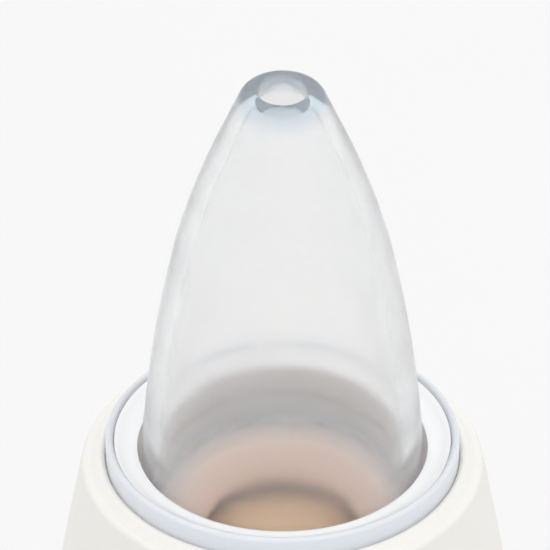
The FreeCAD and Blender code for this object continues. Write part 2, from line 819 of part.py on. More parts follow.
def body_sleeve():
    """One-piece handle sleeve with a ledge for the deck, a panel recess and exhaust slots."""
    edge = s.edge_break
    outline = Outline(barrel_radius(s.seam_height, s.shell_wall), s.seam_height)
    outline.to(barrel_radius(s.seam_height), s.seam_height)
    outline.arc(s.belly_radius, s.belly_height, lower_bend, LEFT)
    outline.arc(barrel_radius(parting - edge), parting - edge, upper_bend, LEFT)
    outline.arc(barrel_radius(parting) - edge, parting, edge, LEFT)
    outline.to(barrel_radius(parting, s.shell_wall), parting)
    outline.arc(barrel_radius(deck_low, s.shell_wall), deck_low, upper_bend - s.shell_wall, RIGHT)
    outline.to(ledge_radius, deck_low)
    outline.to(ledge_radius, ledge_low)
    outline.to(barrel_radius(ledge_low, s.shell_wall), ledge_low)
    outline.arc(s.belly_radius - s.shell_wall, s.belly_height, upper_bend - s.shell_wall, RIGHT)
    closed_by_bend(outline, lower_bend - s.shell_wall, RIGHT)
    tube = turned("sleeve_tube", outline)

    room = s.panel_half_height + s.panel_sink
    skin = band("panel_recess_skin", panel_level - room, panel_level + room,
                -s.panel_thickness, s.panel_sink + s.panel_thickness)
    pocket = capsule("panel_pocket", s.panel_half_height, s.panel_half_width, panel_level,
                     board_front, beyond, FRONT, True)
    holes = [common("panel_recess", skin, pocket)]
    for name, (height, radius) in BUTTONS.items():
        holes.append(through_wall(f"sleeve_{name}_hole", radius + s.button_gap, 0, height, FRONT))
    for index, x in enumerate(light_places):
        holes.append(through_wall(f"sleeve_light_hole_{index}", s.light_radius + s.fit_gap,
                                  x, light_level, FRONT))
    for index in range(COUNTS["vents"]):
        height = parting - s.vent_drop + s.vent_pitch * (index - (COUNTS["vents"] - 1) / 2)
        holes.append(block(f"sleeve_vent_{index}", both_ways(s.vent_half_width), (board_front, beyond),
                           about(height, s.vent_height / 2)))
    keep(cut("body_sleeve", tube, *holes))


def control_panel():
    """Inlaid panel that follows the sleeve's curve, a little below its surface."""
    half_height = s.panel_half_height - s.panel_gap
    skin = band("panel_skin", panel_level - s.panel_half_height, panel_level + s.panel_half_height,
                s.panel_sink, s.panel_sink + s.panel_thickness)
    shape = capsule("panel_shape", half_height, s.panel_half_width - s.panel_gap, panel_level,
                    board_front, beyond, FRONT, True)
    holes = [through_wall(f"panel_{name}_hole", radius + s.button_gap, 0, height, FRONT)
             for name, (height, radius) in BUTTONS.items()]
    for index, x in enumerate(light_places):
        holes.append(through_wall(f"panel_light_hole_{index}", s.light_radius, x, light_level, FRONT))
    keep(cut("control_panel", common("panel_blank", skin, shape), *holes))


def deck_plate():
    """Top of the handle: a locating ring, the suction port with its seal groove, and a hose barb."""
    radius = barrel_radius(deck_top, s.shell_wall) - s.deck_gap
    barb_low = deck_low - s.barb_length
    ring_top = deck_top + s.deck_ring_height
    groove_low = deck_top + s.port_groove_width
    groove_top = groove_low + s.port_groove_width
    groove_radius = s.port_radius - s.port_groove
    port_wall = s.port_radius - s.edge_break
    outline = Outline(s.barb_bore, barb_low)
    outline.to(s.barb_radius, barb_low)
    outline.to(s.barb_radius, deck_low)
    outline.to(radius, deck_low)
    outline.to(radius, deck_top)
    outline.to(s.deck_ring_radius, deck_top)
    outline.to(s.deck_ring_radius, ring_top)
    outline.to(deck_ring_inner, ring_top)
    outline.to(deck_ring_inner, deck_top)
    outline.to(s.port_radius, deck_top)
    outline.to(s.port_radius, groove_low)
    outline.to(groove_radius, groove_low)
    outline.to(groove_radius, groove_top)
    outline.to(s.port_radius, groove_top)
    outline.to(s.port_radius, port_top - s.edge_break)
    outline.to(port_wall, port_top)
    outline.to(s.port_bore, port_top)
    outline.to(s.port_bore, deck_top)
    outline.to(s.barb_bore, deck_top - s.edge_break)
    plate = turned("deck_turning", outline)
    holes = []
    for side in (-1, 1):
        x = deck_screw_offset * side
        holes.append(rod(f"deck_hole_{side + 1}", s.deck_screw_radius, deck_low, deck_top, x))
        holes.append(rod(f"deck_sink_{side + 1}", s.deck_screw_radius * SCREW_HEAD + s.screw_clearance,
                         deck_top - s.deck_thickness / 2, deck_top, x))
    keep(cut("deck_plate", plate, *holes))
    seal_level = groove_low + s.port_groove_width / 2
    keep(ring("port_seal", groove_radius + s.port_seal_section, s.port_seal_section, seal_level))


def screw(label, x, y, seat, shank_radius, length, head_height, upward):
    """A pan-head screw with a cross slot; seat is where its head meets the piece it holds."""
    head_radius = shank_radius * SCREW_HEAD
    half_slot = shank_radius * CROSS_SLOT
    if upward:
        shank = rod(label + "_shank", shank_radius, seat, seat + length, x, y)
        head = rod(label + "_head", head_radius, seat - head_height, seat, x, y)
        slot = (seat - head_height, seat - head_height / 2)
    else:
        shank = rod(label + "_shank", shank_radius, seat - length, seat, x, y)
        head = rod(label + "_head", head_radius, seat, seat + head_height, x, y)
        slot = (seat + head_height / 2, seat + head_height)
    reach = head_radius * CROSS_REACH
    slots = [block(label + "_slot_0", about(x, reach), about(y, half_slot), slot),
             block(label + "_slot_1", about(x, half_slot), about(y, reach), slot)]
    return cut(label, fused(label + "_blank", head, shank), *slots)


base_screw_head = s.base_screw_radius * BASE_SCREW_HEAD
base_screw_places = around(COUNTS["base_screws"], s.screw_circle)
spigot_outer = barrel_radius(s.seam_height, s.shell_wall) - s.fit_gap * 2
spigot_inner = spigot_outer - s.spigot_wall
chassis_radius = smaller(spigot_inner, barrel_radius(chassis_low, s.shell_wall)) - s.chassis_gap
column_inner = larger(s.pump_radius + s.pump_gap, damper_rim + s.damper_gap)
deck_screw_offset = chassis_radius - s.deck_boss_radius - s.chassis_gap


def base_cap():
    """Bottom cup of the handle: screw pillars inside, the charging port through its back."""
    flat_radius = s.base_radius - s.base_rounding
    foot_outer = s.foot_inner_radius + s.foot_width
    groove_top = s.foot_thickness
    inner_foot = s.foot_drop + s.cap_floor + s.base_rounding
    spigot_top = s.seam_height + s.spigot_height
    spigot_foot = s.seam_height - s.spigot_wall
    outline = Outline(0, s.foot_drop)
    outline.to(s.foot_inner_radius, s.foot_drop)
    outline.to(s.foot_inner_radius, groove_top)
    outline.to(foot_outer, groove_top)
    outline.to(foot_outer, s.foot_drop)
    outline.to(flat_radius, s.foot_drop)
    outline.arc(s.base_radius, base_level, s.base_rounding, LEFT)
    outline.arc(barrel_radius(s.seam_height), s.seam_height, lower_bend, LEFT)
    outline.to(spigot_outer, s.seam_height)
    outline.to(spigot_outer, spigot_top)
    outline.to(spigot_inner, spigot_top)
    outline.to(spigot_inner, s.seam_height)
    outline.to(barrel_radius(spigot_foot, s.shell_wall), spigot_foot)
    outline.arc(barrel_radius(inner_foot, s.shell_wall), inner_foot, lower_bend - s.shell_wall, RIGHT)
    outline.to(flat_radius, s.foot_drop + s.cap_floor)
    outline.to(0, s.foot_drop + s.cap_floor)
    shell = turned("cap_shell", outline)

    pillars = []
    holes = []
    for index, (x, y) in enumerate(base_screw_places):
        pillars.append(rod(f"cap_pillar_{index}", s.pillar_radius, s.foot_thickness, chassis_low, x, y))
        holes.append(rod(f"cap_counterbore_{index}", s.base_screw_radius * SCREW_HEAD + s.counterbore_gap,
                         s.foot_drop, s.base_screw_seat, x, y))
        holes.append(rod(f"cap_hole_{index}", s.base_screw_radius, s.foot_drop, chassis_low, x, y))
    room = s.cover_half_height + s.cover_gap
    skin = band("port_recess_skin", port_level - room - s.cover_gap, port_level + room + s.cover_gap,
                -s.recess_depth, s.recess_depth)
    pocket = capsule("port_pocket", s.cover_half_width + s.cover_gap, room, port_level,
                     board_back, beyond, BACK, False)
    holes.append(common("port_recess", skin, pocket))
    holes.append(capsule("port_opening", s.port_half_width, s.port_half_height, port_level,
                         board_back, beyond, BACK, False))
    keep(cut("base_cap", fused("cap_blank", shell, *pillars), *holes))
    screws = [screw(f"base_screw_{index}", x, y, s.base_screw_seat, s.base_screw_radius,
                    s.base_screw_length, base_screw_head, True)
              for index, (x, y) in enumerate(base_screw_places)]
    keep(group("base_screws", screws))
    rounding = s.foot_drop / 2
    foot = Outline(s.foot_inner_radius, rounding).arc(s.foot_inner_radius + rounding, 0, rounding, LEFT)
    foot.to(foot_outer - rounding, 0).arc(foot_outer, rounding, rounding, LEFT)
    foot.to(foot_outer, groove_top).to(s.foot_inner_radius, groove_top)
    keep(turned("foot_ring", foot))


def port_cover():
    """Soft flap over the charging port, with a plug that enters it and a small tab to lift it by."""
    surface = barrel_radius(port_level)
    skin = band("cover_skin", port_level - s.cover_half_height - s.cover_gap,
                port_level + s.cover_half_height + s.cover_gap, as_size(0), s.cover_thickness)
    shape = capsule("cover_shape", s.cover_half_width, s.cover_half_height, port_level,
                    board_back, beyond, BACK, False)
    plate = common("cover_plate", skin, shape)
    plug_far = surface - s.cover_thickness / 2
    plug_near = surface - s.cover_thickness - s.plug_length
    plug = capsule("cover_plug", s.port_half_width - s.plug_gap, s.port_half_height - s.plug_gap,
                   port_level, plug_near, plug_far, BACK, False)
    tab_top = port_level + s.cover_half_height - s.lift_tab / 2
    tab_low = tab_top - s.lift_tab
    tab = block("cover_tab", both_ways(s.lift_tab_half_width),
                (barrel_radius(tab_low) - s.cover_thickness / 2, surface + s.lift_tab), (tab_low, tab_top))
    keep(fused("port_cover", plate, plug, tab))


# ------------------------------------------------------------------ inside the handle
def chassis():
    """Inner frame: bulkheads on two columns, with bosses for the screws of cap, deck and board."""
    chassis_top = ledge_low
    top_ring_low = chassis_top - s.bulkhead
    hole_low = chassis_low - s.bulkhead
    levels = [chassis_low, battery_floor, pump_floor, damper_plate]
    solids = [rod(f"chassis_disc_{index}", chassis_radius, low, low + s.bulkhead)
              for index, low in enumerate(levels)]
    solids.append(rod("chassis_top_ring", ledge_radius + s.ledge_width / 2, top_ring_low, chassis_top))
    holes = [
        rod("chassis_motor_hole", s.endcap_hole, pump_floor, pump_floor + s.bulkhead),
        rod("chassis_damper_hole", s.motor_radius + s.damper_wall, damper_plate, damper_plate + s.bulkhead),
        rod("chassis_top_hole", s.pump_radius + s.chassis_gap, top_ring_low, chassis_top),
    ]
    for side in (-1, 1):
        limits = sorted((column_inner * side, (column_inner + s.column_thickness) * side),
                        key=lambda size: size.value)
        column = block(f"chassis_column_block_{side + 1}", limits, both_ways(s.column_half_width),
                       (chassis_low, chassis_top))
        reach = rod(f"chassis_column_reach_{side + 1}", chassis_radius - s.fit_gap,
                    chassis_low, chassis_top)
        solids.append(common(f"chassis_column_{side + 1}", column, reach))
        x = deck_screw_offset * side
        solids.append(rod(f"chassis_deck_boss_{side + 1}", s.deck_boss_radius,
                          chassis_top - s.deck_boss_length, chassis_top, x))
        holes.append(rod(f"chassis_deck_hole_{side + 1}", s.deck_screw_radius,
                         deck_low + s.deck_thickness / 2 - s.deck_screw_length, chassis_top, x))
        board_x = s.board_screw_spread * side
        solids.append(block(f"chassis_board_boss_{side + 1}", about(board_x, s.bulkhead),
                            (-board_back, -s.battery_radius - s.pump_gap),
                            about(board_screw_level, s.bulkhead)))
        holes.append(peg(f"chassis_board_hole_{side + 1}", s.board_screw_radius,
                         board_front - board_screw_length, board_front, board_x, board_screw_level, FRONT))
    for index, (x, y) in enumerate(base_screw_places):
        solids.append(rod(f"chassis_boss_{index}", s.boss_radius, chassis_low,
                          chassis_low + s.bulkhead + s.boss_height, x, y))
        holes.append(rod(f"chassis_hole_{index}", s.base_screw_radius, hole_low,
                         s.base_screw_seat + s.base_screw_length, x, y))
    holes.append(block("chassis_front_flat", both_ways(chassis_radius), (-beyond, -board_back),
                       (board_low, board_high + s.board_overhang)))
    keep(cut("chassis", fused("chassis_blank", *solids), *holes))
    screws = [screw(f"deck_screw_{side + 1}", deck_screw_offset * side, 0, deck_low + s.deck_thickness / 2,
                    s.deck_screw_radius, s.deck_screw_length, s.deck_screw_radius, False)
              for side in (-1, 1)]
    keep(group("deck_screws", screws))


board_low = pump_floor - s.bulkhead
board_high = level_level + s.board_overhang
board_screw_level = pump_floor + s.bulkhead / 2
board_screw_length = s.board_thickness + s.board_screw_bite


def main_board():
    """Upright control board behind the buttons, with switches, lamps and the control chip."""
    board = block("board_blank", both_ways(s.board_half_width), (-board_front, -board_back),
                  (board_low, board_high))
    holes = []
    screws = []
    for side in (-1, 1):
        x = s.board_screw_spread * side
        holes.append(peg(f"board_hole_{side + 1}", s.board_screw_radius, board_back, board_front,
                         x, board_screw_level, FRONT))
        shank = peg(f"board_screw_shank_{side + 1}", s.board_screw_radius,
                    board_front - board_screw_length, board_front, x, board_screw_level, FRONT)
        head = peg(f"board_screw_head_{side + 1}", s.board_screw_radius * SCREW_HEAD, board_front,
                   board_front + s.board_screw_radius, x, board_screw_level, FRONT)
        screws.append(fused(f"board_screw_{side + 1}", shank, head))
    keep(cut("main_board", board, *holes))
    keep(group("board_screws", screws))
    chip_half = s.board_half_width / 2
    chip_low = level_level + s.chip_lift
    keep(block("control_chip", both_ways(chip_half), (-board_front - s.board_thickness, -board_front),
               (chip_low, chip_low + chip_half)))
    leds = [block(f"led_{index}", about(x, s.led_half_width), (-board_front - s.led_thickness, -board_front),
                  about(light_level, s.led_half_width / 2)) for index, x in enumerate(light_places)]
    keep(group("indicator_leds", leds))
    pipes = []
    for index, x in enumerate(light_places):
        face = leg(barrel_radius(light_level, s.panel_sink), x)
        pipes.append(peg(f"light_pipe_{index}", s.light_radius, board_front + s.led_thickness + s.fit_gap,
                         face, x, light_level, FRONT))
    keep(group("light_pipes", pipes))


def buttons():
    """Round dished buttons with a flange behind the wall; each pushes a plunger into its switch."""
    cans = []
    for name, (height, radius) in BUTTONS.items():
        flange_radius = radius + s.button_flange
        wall = leg(barrel_radius(height, s.shell_wall), flange_radius)
        flange_top = wall - s.button_flange_gap
        back = flange_top - s.button_flange_thickness
        room = back - s.button_travel - s.plunger_clearance
        switch_front = smaller(board_front + s.switch_thickness, room)
        plunger_back = switch_front - s.plunger_entry
        front = barrel_radius(height) - s.button_dish / 2
        dish_radius = radius - s.button_edge * 2
        dish_bend = bend_through(dish_radius, s.button_dish)
        outline = Outline(0, back).to(flange_radius, back).to(flange_radius, flange_top)
        outline.to(radius, flange_top).to(radius, front - s.button_edge)
        outline.arc(radius - s.button_edge, front, s.button_edge, LEFT)
        outline.to(dish_radius, front)
        outline.arc(0, front - s.button_dish, dish_bend, RIGHT)
        keep(place(turned(f"{name}_button", outline), 0, 0, height, FACING_FRONT))
        keep(peg(f"{name}_plunger", s.plunger_radius, plunger_back, back, 0, height, FRONT))
        can = block(f"{name}_can", both_ways(s.switch_half_width), (-switch_front, -board_front),
                    about(height, s.switch_half_width))
        well_floor = plunger_back - s.button_travel - s.plunger_clearance
        well = peg(f"{name}_well", s.plunger_radius + s.plunger_clearance, well_floor, switch_front,
                   0, height, FRONT)
        cans.append(cut(f"{name}_switch", can, well))
    keep(group("tact_switches", cans))


def charging():
    """Charging board on the lowest bulkhead with its socket facing the back."""
    mouth = barrel_radius(port_level, s.shell_wall) - s.usb_setback
    wall_clear = leg(barrel_radius(charge_board_low, s.shell_wall) - s.chassis_gap, s.charge_board_half_width)
    keep(block("charge_board", both_ways(s.charge_board_half_width),
               (-s.charge_board_front + s.fit_gap, smaller(mouth - s.board_thickness, wall_clear)),
               (charge_board_low, charge_board_top)))
    outer = capsule("usb_outer", s.usb_half_width, s.usb_half_height, port_level,
                    mouth - s.usb_depth, mouth, BACK, False)
    inner = capsule("usb_inner", s.usb_half_width - s.usb_wall, s.usb_half_height - s.usb_wall, port_level,
                    mouth - s.usb_depth + s.usb_wall, mouth, BACK, False)
    keep(cut("usb_socket", outer, inner))
    keep(block("usb_tongue", both_ways(s.tongue_half_width),
               (mouth - s.usb_depth + s.usb_wall, mouth - s.usb_wall * 2), about(port_level, s.usb_wall)))


def battery():
    """Round lithium cell standing on a foam pad."""
    high = battery_low + s.battery_length
    shoulder = s.battery_shoulder
    outline = Outline(0, battery_low).to(s.battery_radius - shoulder, battery_low)
    outline.arc(s.battery_radius, battery_low + shoulder, shoulder, LEFT)
    outline.to(s.battery_radius, high - shoulder * 2)
    outline.arc(s.battery_radius - shoulder, high - shoulder, shoulder, LEFT)
    outline.to(s.battery_cap_radius, high - shoulder).to(s.battery_cap_radius, high).to(0, high)
    keep(turned("battery_cell", outline))
    keep(rod("battery_pad", s.battery_radius - shoulder, battery_low - s.battery_pad, battery_low))


def motor():
    """Small direct-current motor held in the chassis by a soft ring."""
    bore = s.shaft_radius + s.shaft_clearance
    inner = s.motor_radius - s.motor_wall
    lid_low = motor_top - s.motor_wall
    boss_top = motor_top + s.motor_boss_height
    can = Outline(inner, motor_low).to(s.motor_radius, motor_low).to(s.motor_radius, motor_top)
    can.to(s.motor_boss_radius, motor_top).to(s.motor_boss_radius, boss_top).to(bore, boss_top)
    can.to(bore, lid_low).to(inner, lid_low)
    keep(turned("motor_can", can))
    endcap_top = motor_low + s.endcap_thickness
    endcap = Outline(0, motor_low - s.endcap_drop).to(s.motor_boss_radius, motor_low - s.endcap_drop)
    endcap.to(s.motor_boss_radius, motor_low).to(inner, motor_low).to(inner, endcap_top)
    endcap.to(bore, endcap_top).to(bore, motor_low).to(0, motor_low)
    keep(turned("motor_endcap", endcap))
    rotor_low = endcap_top + s.endcap_thickness
    rotor_high = rotor_low + s.rotor_length
    keep(turned("motor_rotor", Outline(s.shaft_radius, rotor_low).to(s.rotor_radius, rotor_low)
                .to(s.rotor_radius, rotor_high).to(s.shaft_radius, rotor_high)))
    magnet_ring = turned("magnet_ring", Outline(s.rotor_radius + s.magnet_gap, rotor_low).to(inner, rotor_low)
                         .to(inner, rotor_high).to(s.rotor_radius + s.magnet_gap, rotor_high))
    keep(cut("motor_magnets", magnet_ring,
             block("magnet_split", both_ways(s.magnet_split), both_ways(s.motor_radius),
                   (rotor_low, rotor_high))))
    keep(rod("motor_shaft", s.shaft_radius, motor_low + s.fit_gap * 2, shaft_top))
    hold = s.motor_radius + s.damper_wall
    plate_top = damper_plate + s.bulkhead
    low = damper_plate - s.damper_flange
    high = plate_top + s.damper_flange
    keep(turned("pump_damper", Outline(s.motor_radius, low).to(damper_rim, low).to(damper_rim, damper_plate)
                .to(hold, damper_plate).to(hold, plate_top).to(damper_rim, plate_top).to(damper_rim, high)
                .to(s.motor_radius, high)))


wheel_low = motor_top + s.motor_boss_height + s.wheel_lift
wheel_top = wheel_low + s.wheel_length
shaft_top = wheel_low + s.wheel_length / 2
pivot_level = housing_top
TILTED = FreeCAD.Rotation(Vector(0, 1, 0), PIN_TILT)


def on_pin(thing):
    """Stands a piece drawn about the pivot on the oblique axis of the wobble pin."""
    return place(thing, 0, 0, pivot_level, TILTED)


def wobble_drive():
    """Wheel on the shaft, oblique pin, and the three-armed frame that the pin rocks."""
    wheel = rod("wheel_blank", s.wheel_radius, wheel_low, wheel_top)
    bore = rod("wheel_bore", s.shaft_radius, wheel_low, shaft_top)
    pin_bar = Outline(0, -s.pin_foot).to(s.pin_radius, -s.pin_foot)
    pin_bar.to(s.pin_radius, -s.pin_head).to(0, -s.pin_head)
    keep(cut("eccentric_wheel", wheel, bore, on_pin(turned("wheel_pin_hole", pin_bar))))
    keep(on_pin(turned("wobble_pin", pin_bar)))
    hub = rod("frame_hub", s.hub_radius, -s.hub_foot, -s.hub_head)
    arm_top = s.arm_thickness - s.arm_drop
    pieces = [hub]
    for index, (x, y) in enumerate(around(COUNTS["pump_chambers"], s.cup_circle, 90.0)):
        pieces.append(rod(f"frame_arm_end_{index}", s.arm_end_radius, -s.arm_drop, arm_top, x, y))
        arm = block(f"frame_arm_{index}", (as_size(0), s.cup_circle), both_ways(s.arm_half_width),
                    (-s.arm_drop, arm_top))
        turn = FreeCAD.Rotation(Vector(0, 0, 1), 90.0 + 360.0 * index / COUNTS["pump_chambers"])
        corner = turn.multVec(Vector(0, -1, 0))
        place(arm, s.arm_half_width * round(corner.x, 6), s.arm_half_width * round(corner.y, 6),
              -s.arm_drop, turn)
        pieces.append(arm)
    hub_bore = rod("frame_hub_bore", s.pin_radius + s.pin_clearance, -s.hub_foot, -s.hub_head)
    keep(on_pin(cut("wobble_frame", fused("frame_blank", *pieces), hub_bore)))


def pump():
    """Diaphragm pump: housing, bellows, valve plate and head in a stack held by three screws."""
    inner = s.pump_radius - s.pump_wall
    boss_hole = s.motor_boss_radius + s.fit_gap
    floor_top = motor_top + s.housing_floor
    housing = turned("housing_blank", Outline(boss_hole, motor_top).to(s.pump_radius, motor_top)
                     .to(s.pump_radius, housing_top).to(inner, housing_top).to(inner, floor_top)
                     .to(boss_hole, floor_top))
    screw_places = around(COUNTS["pump_chambers"], s.pump_radius - s.pump_wall / 2, -90.0)
    chambers = around(COUNTS["pump_chambers"], s.cup_circle, 90.0)
    inlets = around(COUNTS["pump_chambers"], s.inlet_circle, 90.0)
    screw_low = housing_top - s.pump_screw_bite

    def screw_holes(label):
        return [rod(f"{label}_screw_hole_{index}", s.pump_screw_radius, screw_low, pump_top, x, y)
                for index, (x, y) in enumerate(screw_places)]

    keep(cut("pump_housing", housing, *screw_holes("housing")))

    sheet_disc = rod("diaphragm_disc", s.pump_radius, housing_top, diaphragm_top)
    bellows = [rod(f"bellows_{index}", s.bellows_radius, housing_top - s.bellows_height, diaphragm_top, x, y)
               for index, (x, y) in enumerate(chambers)]
    hollows = [rod(f"bellows_hollow_{index}", s.bellows_radius - s.bellows_wall,
                   housing_top - s.bellows_height + s.bellows_wall, diaphragm_top, x, y)
               for index, (x, y) in enumerate(chambers)]
    keep(cut("diaphragm", fused("diaphragm_blank", sheet_disc, *bellows),
             *hollows, *screw_holes("diaphragm")))

    plate = rod("valve_plate_disc", s.pump_radius, diaphragm_top, valve_plate_top)
    plate_holes = screw_holes("valve_plate")
    valves = []
    for index, (x, y) in enumerate(chambers):
        plate_holes.append(rod(f"stem_hole_{index}", s.valve_stem_radius,
                               diaphragm_top, valve_plate_top, x, y))
        stem = rod(f"valve_stem_{index}", s.valve_stem_radius, diaphragm_top, valve_plate_top, x, y)
        cap = rod(f"valve_cap_{index}", s.valve_radius,
                  valve_plate_top, valve_plate_top + s.valve_thickness, x, y)
        valves.append(fused(f"umbrella_valve_{index}", stem, cap))
    for index, (x, y) in enumerate(inlets):
        plate_holes.append(rod(f"inlet_hole_{index}", s.inlet_radius, diaphragm_top, valve_plate_top, x, y))
    keep(cut("valve_plate", plate, *plate_holes))
    keep(group("umbrella_valves", valves))

    cavity_top = valve_plate_top + s.pump_head_cavity
    head = turned("pump_head_turning", Outline(s.barb_bore, cavity_top).to(inner, cavity_top)
                  .to(inner, valve_plate_top).to(s.pump_radius, valve_plate_top).to(s.pump_radius, pump_top)
                  .to(s.barb_radius, pump_top).to(s.barb_radius, pump_top + s.barb_length)
                  .to(s.barb_bore, pump_top + s.barb_length))
    nozzle_top = pump_top + s.nozzle_length
    nozzle = rod("exhaust_nozzle", s.nozzle_radius, cavity_top, nozzle_top, 0, s.nozzle_offset)
    nozzle_hole = rod("exhaust_bore", s.nozzle_bore, cavity_top, nozzle_top, 0, s.nozzle_offset)
    keep(cut("pump_head", fused("pump_head_blank", head, nozzle), nozzle_hole, *screw_holes("pump_head")))

    screws = [screw(f"pump_screw_{index}", x, y, pump_top, s.pump_screw_radius, pump_top - screw_low,
                    s.pump_screw_radius, False) for index, (x, y) in enumerate(screw_places)]
    keep(group("pump_screws", screws))

    foam = rod("muffler_foam", s.muffler_radius, pump_top + s.fit_gap, pump_top + s.muffler_length,
               0, s.nozzle_offset)
    hollow = rod("muffler_hollow", s.nozzle_radius, pump_top, nozzle_top, 0, s.nozzle_offset)
    keep(cut("exhaust_muffler", foam, hollow))

    hose_low = pump_top + s.hose_inset
    hose_top = deck_low - s.hose_inset
    keep(turned("inlet_hose", Outline(s.barb_radius, hose_low).to(s.barb_radius + s.hose_wall, hose_low)
                .to(s.barb_radius + s.hose_wall, hose_top).to(s.barb_radius, hose_top)))


# ------------------------------------------------------------------ build, test and write
for build in (nose_tip, funnel_ring, tip_seat, collection_cup, splash_guard, head_cover, body_sleeve,
              control_panel, deck_plate, base_cap, port_cover, chassis, main_board, buttons, charging,
              battery, motor, wobble_drive, pump):
    build()
document.recompute()

for thing in document.Objects:
    if "Invalid" in thing.State or "Error" in thing.State:
        raise RuntimeError(f"{thing.Label} did not build: {thing.State}")
for name, thing in nodes.items():
    if thing.Shape.isNull() or not thing.Shape.isValid():
        raise RuntimeError(f"{name} has no valid shape")

os.makedirs("parts", exist_ok=True)
for name, thing in nodes.items():
    thing.Shape.exportStep(os.path.join("parts", f"{name}.step"))
print(len(nodes), "sub-parts written")
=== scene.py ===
from math import atan2, ceil, copysign, cos, pi, radians, sin, sqrt, tau

import bmesh
import bpy
from mathutils import Matrix, Vector


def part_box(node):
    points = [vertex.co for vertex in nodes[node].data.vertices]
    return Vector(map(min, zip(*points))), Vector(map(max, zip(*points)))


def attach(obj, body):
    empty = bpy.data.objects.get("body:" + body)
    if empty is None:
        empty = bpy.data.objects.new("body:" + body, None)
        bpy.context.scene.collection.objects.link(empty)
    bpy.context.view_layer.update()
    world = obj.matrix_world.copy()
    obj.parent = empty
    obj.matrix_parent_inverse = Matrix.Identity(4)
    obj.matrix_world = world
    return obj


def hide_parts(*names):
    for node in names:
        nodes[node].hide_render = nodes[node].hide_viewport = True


# A hand-held electric nasal aspirator, standing upright on its rubber foot.
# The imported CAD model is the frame; heights written in millimetres are from the rim of the clear collar.
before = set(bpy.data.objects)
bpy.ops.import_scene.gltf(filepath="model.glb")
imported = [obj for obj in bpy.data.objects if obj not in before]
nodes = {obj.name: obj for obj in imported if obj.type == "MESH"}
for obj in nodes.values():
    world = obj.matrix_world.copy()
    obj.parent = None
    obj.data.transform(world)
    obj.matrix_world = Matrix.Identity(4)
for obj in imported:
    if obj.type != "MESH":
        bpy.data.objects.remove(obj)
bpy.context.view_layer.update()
mm = 0.001
collar_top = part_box("collection_cup")[1].z


# ------------------------------------------------------------------ camera
# A long lens, far away, looks down at the tip from the front, a little above its middle.
look_down = radians(35.4)
towards_camera = Vector((0, -cos(look_down), sin(look_down)))
picture_up = Vector((0, sin(look_down), cos(look_down)))
camera_distance = 1.525
picture_width = 41.95 * mm
aim_aside, aim_above = -0.57 * mm, 12.28 * mm
aim = Vector((aim_aside, 0, collar_top)) + picture_up * aim_above

camera = bpy.data.objects.new("camera", bpy.data.cameras.new("camera"))
camera.data.sensor_width = 36
camera.data.lens = camera.data.sensor_width * camera_distance / picture_width
camera.data.clip_start = 0.1
camera.data.clip_end = 20
camera.location = aim + towards_camera * camera_distance
camera.rotation_mode = "QUATERNION"
camera.rotation_quaternion = (-towards_camera).to_track_quat("-Z", "Y")
bpy.context.scene.collection.objects.link(camera)
bpy.context.scene.camera = camera


# ------------------------------------------------------------------ floor and light
# A pale grey matte table in a white studio. The surround is white and brightest overhead, and one wide
# soft box stands high up on the right.
def linear(colour):
    """A linear colour, with alpha, from an sRGB hex value."""
    parts = [int(colour[at:at + 2], 16) / 255 for at in (1, 3, 5)]
    return tuple(part / 12.92 if part <= 0.04045 else ((part + 0.055) / 1.055) ** 2.4
                 for part in parts) + (1,)


def add(tree, kind, inputs=None, **settings):
    """Adds a node; inputs gives its sockets a value or links another node's output to them."""
    made = tree.nodes.new(kind)
    for name, value in settings.items():
        setattr(made, name, value)
    for name, value in (inputs or {}).items():
        if isinstance(value, bpy.types.NodeSocket):
            tree.links.new(value, made.inputs[name])
        else:
            made.inputs[name].default_value = value
    return made


def new_material(name):
    made = bpy.data.materials.new(name)
    made.use_nodes = True
    made.node_tree.nodes.clear()
    return made, made.node_tree


table_paint, tree = new_material("matte_pale_grey_table_paint")
place = add(tree, "ShaderNodeTexCoord").outputs["Object"]
mottle = add(tree, "ShaderNodeTexNoise", {"Vector": place, "Scale": 12.0, "Detail": 3.0})
tone = add(tree, "ShaderNodeMix", {"Factor": mottle.outputs["Fac"], 6: linear("#dcdcdc"),
                                   7: linear("#dfdfdf")}, data_type="RGBA")
paint = add(tree, "ShaderNodeBsdfPrincipled", {"Base Color": tone.outputs[2], "Roughness": 0.7, "IOR": 1.45,
                                               "Specular IOR Level": 0.2})
add(tree, "ShaderNodeOutputMaterial", {"Surface": paint.outputs["BSDF"]})

table_radius = 4.0
bm = bmesh.new()
bmesh.ops.create_circle(bm, cap_ends=True, segments=96, radius=table_radius)
table_mesh = bpy.data.meshes.new("table")
bm.to_mesh(table_mesh)
bm.free()
table_mesh.materials.append(table_paint)
table = bpy.data.objects.new("table", table_mesh)
bpy.context.scene.collection.objects.link(table)

surround = bpy.data.worlds.new("white_studio")
surround.use_nodes = True
bpy.context.scene.world = surround
tree = surround.node_tree
tree.nodes.clear()
direction = add(tree, "ShaderNodeTexCoord").outputs["Generated"]
upwards = add(tree, "ShaderNodeSeparateXYZ", {"Vector": direction}).outputs["Z"]
horizon_strength, overhead_strength = 0.76, 1.4
brightness = add(tree, "ShaderNodeMapRange", {"Value": upwards, "From Min": -0.1, "From Max": 0.9,
                                              "To Min": horizon_strength, "To Max": overhead_strength},
                 interpolation_type="SMOOTHSTEP")
white = add(tree, "ShaderNodeBackground", {"Color": linear("#ffffff"),
                                           "Strength": brightness.outputs["Result"]})
add(tree, "ShaderNodeOutputWorld", {"Surface": white.outputs["Background"]})

